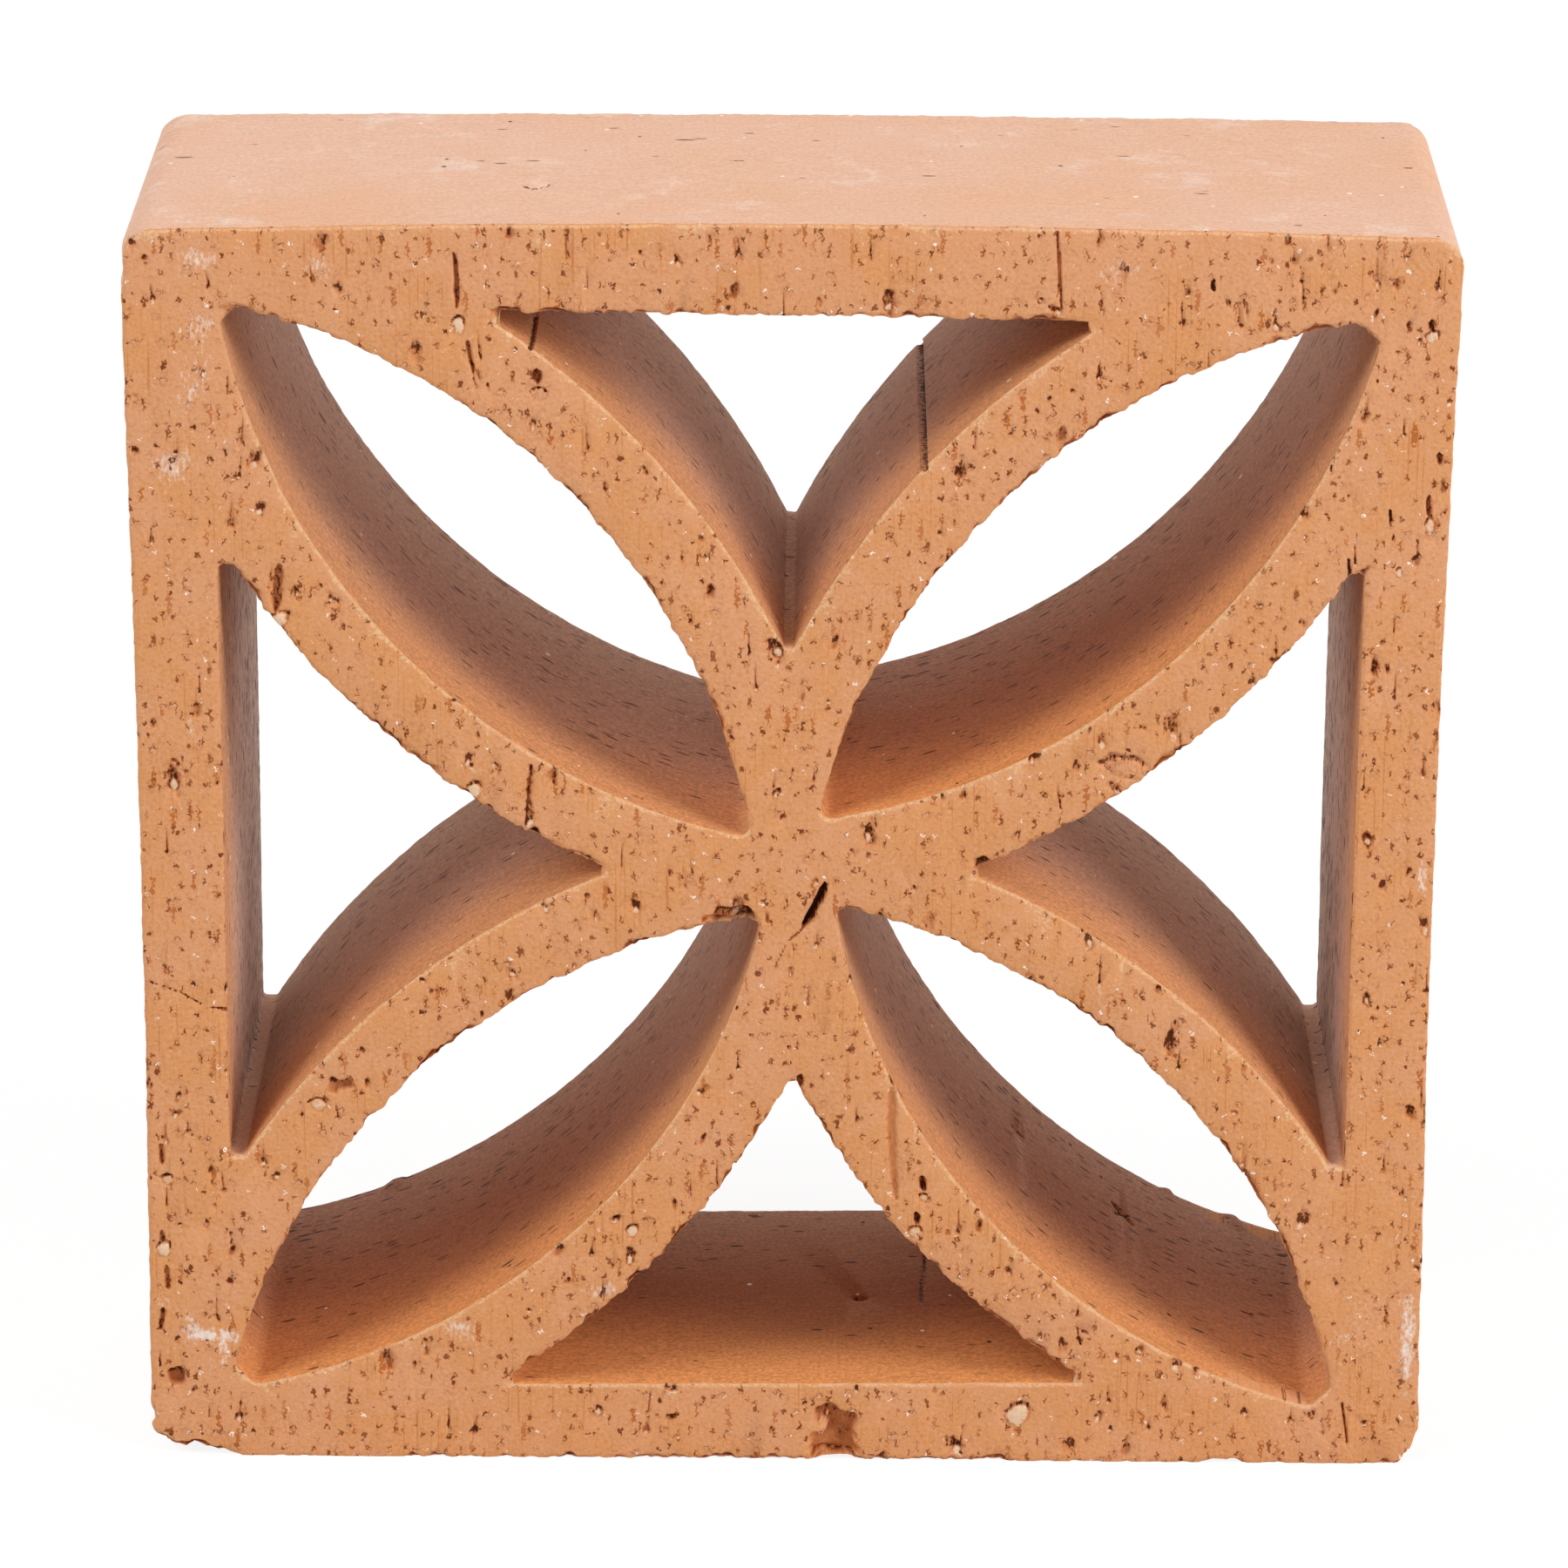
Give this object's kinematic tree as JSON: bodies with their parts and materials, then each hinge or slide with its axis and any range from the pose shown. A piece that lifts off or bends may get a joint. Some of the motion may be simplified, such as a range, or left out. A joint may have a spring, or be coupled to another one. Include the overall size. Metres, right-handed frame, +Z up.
{
  "type": "terracotta breeze block",
  "caption": "Square fired-clay screen block, extruded and wire-cut, pierced right through by pointed petals on its diagonals and curved triangles between them.",
  "frame": {"origin": "middle of the bed face that the block stands on", "axes": "+X across the wall face, +Y through the wall from front to back, +Z up"},
  "size_m": [0.19, 0.065, 0.19],
  "materials": {
    "terracotta": "matt unglazed fired clay, smooth on the die faces and torn and pitted on the wire-cut faces"
  },
  "bodies": {
    "root": {"breeze_block": "terracotta"}
  },
  "joints": []
}
